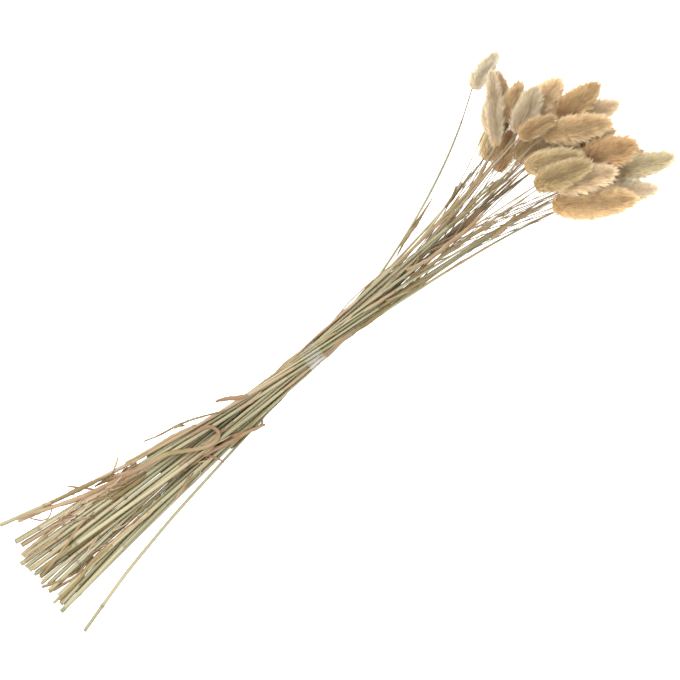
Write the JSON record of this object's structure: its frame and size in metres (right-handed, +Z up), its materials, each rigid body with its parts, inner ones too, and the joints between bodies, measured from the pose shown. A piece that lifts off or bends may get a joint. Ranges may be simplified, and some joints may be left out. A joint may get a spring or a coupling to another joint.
{
  "type": "dried bunny tail grass bunch",
  "caption": "Tied bunch of dried bunny tail grass, lying down: slender stems fan out from a clear tape tie to soft furry egg-shaped heads.",
  "frame": {"origin": "centre of the footprint, on the surface that the bunch lies on", "axes": "+X along the bunch from the cut ends to the heads, +Z up"},
  "size_m": [0.445, 0.1238, 0.0498],
  "materials": {
    "straw": "dry ribbed grass stem, green-tan with pinkish leaf sheaths",
    "papery_leaf": "dry papery leaf, pink-brown",
    "clear_tape": "clear adhesive tape, wrinkled",
    "head_cream": "dense silky hair, pale cream",
    "head_sand": "dense silky hair, sand",
    "head_tan": "dense silky hair, tan",
    "head_amber": "dense silky hair, orange-tan",
    "head_umber": "dense silky hair, brown",
    "head_olive": "dense silky hair, olive-tan"
  },
  "bodies": {
    "root": {"stem_01": "straw", "head_01": "head_sand", "stem_02": "straw", "head_02": "head_olive", "stem_03": "straw", "head_03": "head_tan", "stem_04": "straw", "head_04": "head_amber", "stem_05": "straw", "head_05": "head_amber", "stem_06": "straw", "head_06": "head_cream", "stem_07": "straw", "head_07": "head_tan", "stem_08": "straw", "head_08": "head_olive", "stem_09": "straw", "head_09": "head_sand", "stem_10": "straw", "head_10": "head_olive", "stem_11": "straw", "head_11": "head_umber", "stem_12": "straw", "head_12": "head_sand", "stem_13": "straw", "head_13": "head_sand", "stem_14": "straw", "head_14": "head_amber", "stem_15": "straw", "head_15": "head_cream", "stem_16": "straw", "head_16": "head_amber", "stem_17": "straw", "head_17": "head_umber", "stem_18": "straw", "head_18": "head_tan", "stem_19": "straw", "head_19": "head_tan", "stem_20": "straw", "head_20": "head_amber", "stem_21": "straw", "head_21": "head_cream", "stem_22": "straw", "head_22": "head_cream", "stem_23": "straw", "head_23": "head_tan", "stem_24": "straw", "head_24": "head_amber", "stem_25": "straw", "head_25": "head_cream", "stem_26": "straw", "head_26": "head_cream", "tie": "clear_tape", "leaf_long_folded": "papery_leaf", "leaf_lower_edge": "papery_leaf", "leaf_upper_edge": "papery_leaf", "leaf_thin": "papery_leaf", "leaf_pointed": "papery_leaf", "leaf_small": "papery_leaf", "leaf_sheath": "papery_leaf"}
  },
  "joints": []
}
